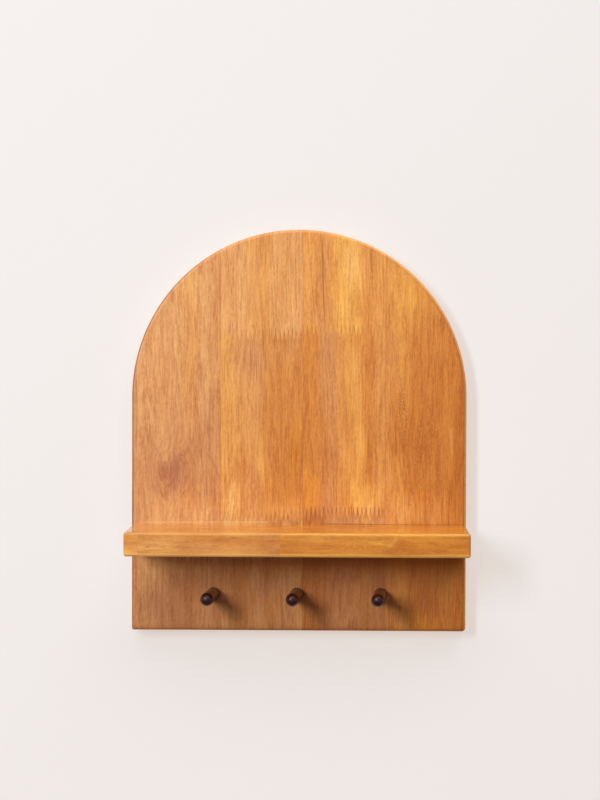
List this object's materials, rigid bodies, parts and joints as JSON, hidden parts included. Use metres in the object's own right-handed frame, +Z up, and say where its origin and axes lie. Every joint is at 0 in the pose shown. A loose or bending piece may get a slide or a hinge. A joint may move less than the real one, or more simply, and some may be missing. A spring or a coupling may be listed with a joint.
{
  "type": "shaker peg rail with shelf",
  "caption": "Arched wall board with a narrow shelf across its lower part and a row of plain dark pegs below the shelf.",
  "frame": {"origin": "centre of the arch on the back face that lies on the wall", "axes": "+X to the right of someone facing the shelf, +Y into the wall, +Z up; the front faces -Y"},
  "size_m": [0.3, 0.1, 0.36],
  "materials": {
    "backboard_pine": "honey stain under satin varnish, upright grain",
    "shelf_pine": "honey stain under satin varnish, grain along the shelf",
    "dark_peg": "espresso stain, semi-gloss",
    "plated_steel": "bright zinc plating",
    "screw_steel": "yellow zinc plating"
  },
  "bodies": {
    "root": {"board_edge_strip": "backboard_pine", "board_left_stave": "backboard_pine", "board_centre_left_top_block": "backboard_pine", "board_centre_left_middle_block": "backboard_pine", "board_centre_left_bottom_block": "backboard_pine", "board_centre_right_top_block": "backboard_pine", "board_centre_right_middle_block": "backboard_pine", "board_centre_right_bottom_block": "backboard_pine", "board_right_stave": "backboard_pine", "shelf_left_block": "shelf_pine", "shelf_middle_block": "shelf_pine", "shelf_right_block": "shelf_pine", "peg_left": "dark_peg", "peg_middle": "dark_peg", "peg_right": "dark_peg", "keyhole_plate_left": "plated_steel", "keyhole_plate_right": "plated_steel", "keyhole_plate_screws": "screw_steel", "shelf_screws": "screw_steel"}
  },
  "joints": []
}
